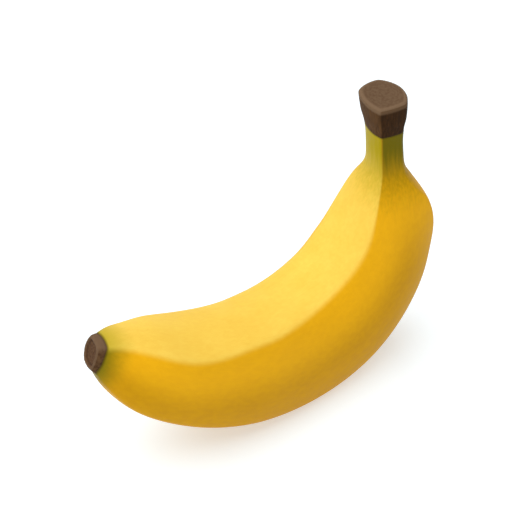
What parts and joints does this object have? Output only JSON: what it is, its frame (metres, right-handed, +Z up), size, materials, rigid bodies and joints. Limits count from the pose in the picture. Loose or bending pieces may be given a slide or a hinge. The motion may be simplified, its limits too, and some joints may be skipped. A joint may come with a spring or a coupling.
{
  "type": "banana",
  "caption": "Ripe curved banana with a rounded five-sided body, a narrow neck, a dried stem cap and a blossom scar, resting on its back.",
  "frame": {"origin": "on the ground, under the middle of the fruit's bounding box", "axes": "+Z up; the fruit curves in the XZ plane, with the blossom end towards -X and the stem, which points up, towards +X; the clear front ridge looks to -Y"},
  "size_m": [0.1288, 0.0402, 0.1018],
  "materials": {
    "peel": "satin"
  },
  "bodies": {
    "root": {"banana": "peel"}
  },
  "joints": []
}
